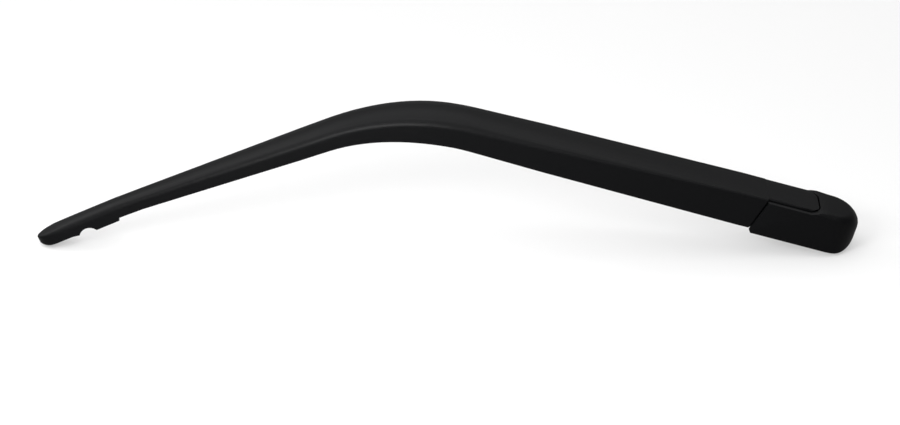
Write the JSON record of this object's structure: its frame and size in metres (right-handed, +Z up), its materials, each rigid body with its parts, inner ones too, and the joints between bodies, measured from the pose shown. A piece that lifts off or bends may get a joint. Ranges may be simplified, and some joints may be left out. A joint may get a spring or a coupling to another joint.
{
  "type": "wiper arm",
  "caption": "Rear window wiper arm: arched moulded arm with a blade seat at its tip, hinged on a spindle head under a clip-on cover and pressed down by a hidden coil spring",
  "frame": {"origin": "on the wiper spindle's axis, at the lower face of the hub", "axes": "+Z up along the spindle, away from the window; the arm reaches towards -X; +Y completes the right-handed frame"},
  "size_m": [0.4009, 0.0292, 0.0735],
  "materials": {
    "moulded_arm": "fine satin moulded surface, glass-filled",
    "moulded_cover": "fine satin moulded surface",
    "die_cast_head": "as cast, blasted",
    "steel_pins": "turned, oiled",
    "bushes": "natural bearing plastic",
    "spring_wire": "drawn spring wire, oiled",
    "link_strip": "stamped strip, zinc plated"
  },
  "bodies": {
    "head": {"mounting_head": "die_cast_head", "pivot_pin": "steel_pins", "hook_pin": "steel_pins"},
    "cover": {"head_cover": "moulded_cover"},
    "arm": {"arm_shell": "moulded_arm", "pivot_bush_left": "bushes", "pivot_bush_right": "bushes", "spring_anchor_pin": "steel_pins"},
    "spring": {"tension_spring": "spring_wire"},
    "link": {"spring_link": "link_strip"}
  },
  "joints": [
    {"name": "arm_lift", "type": "hinge", "parent": "head", "child": "arm", "pos_m": [-0.01497, 0, 0.01937], "axis": [0, 1, 0], "range_deg": [0, 55], "stiffness_Nm_per_rad": 0.25, "springref_deg": -85.94},
    {"name": "cover_pull", "type": "slide", "parent": "head", "child": "cover", "axis": [0.9397, 0, 0.342], "range_m": [0, 0.03]},
    {"name": "spring_swing", "type": "hinge", "parent": "arm", "child": "spring", "pos_m": [-0.10045, 0, 0.0413], "axis": [0, 1, 0], "range_deg": [-1.2, 0]},
    {"name": "spring_stretch", "type": "slide", "parent": "spring", "child": "link", "axis": [0.9418, 0, -0.3362], "range_m": [0, 0.008], "deforming": ["tension_spring"]}
  ],
  "couplings": [
    {"joint": "spring_swing", "follows": "arm_lift", "ratio": -0.02},
    {"joint": "spring_stretch", "follows": "arm_lift", "m_per_rad": 0.0081}
  ]
}
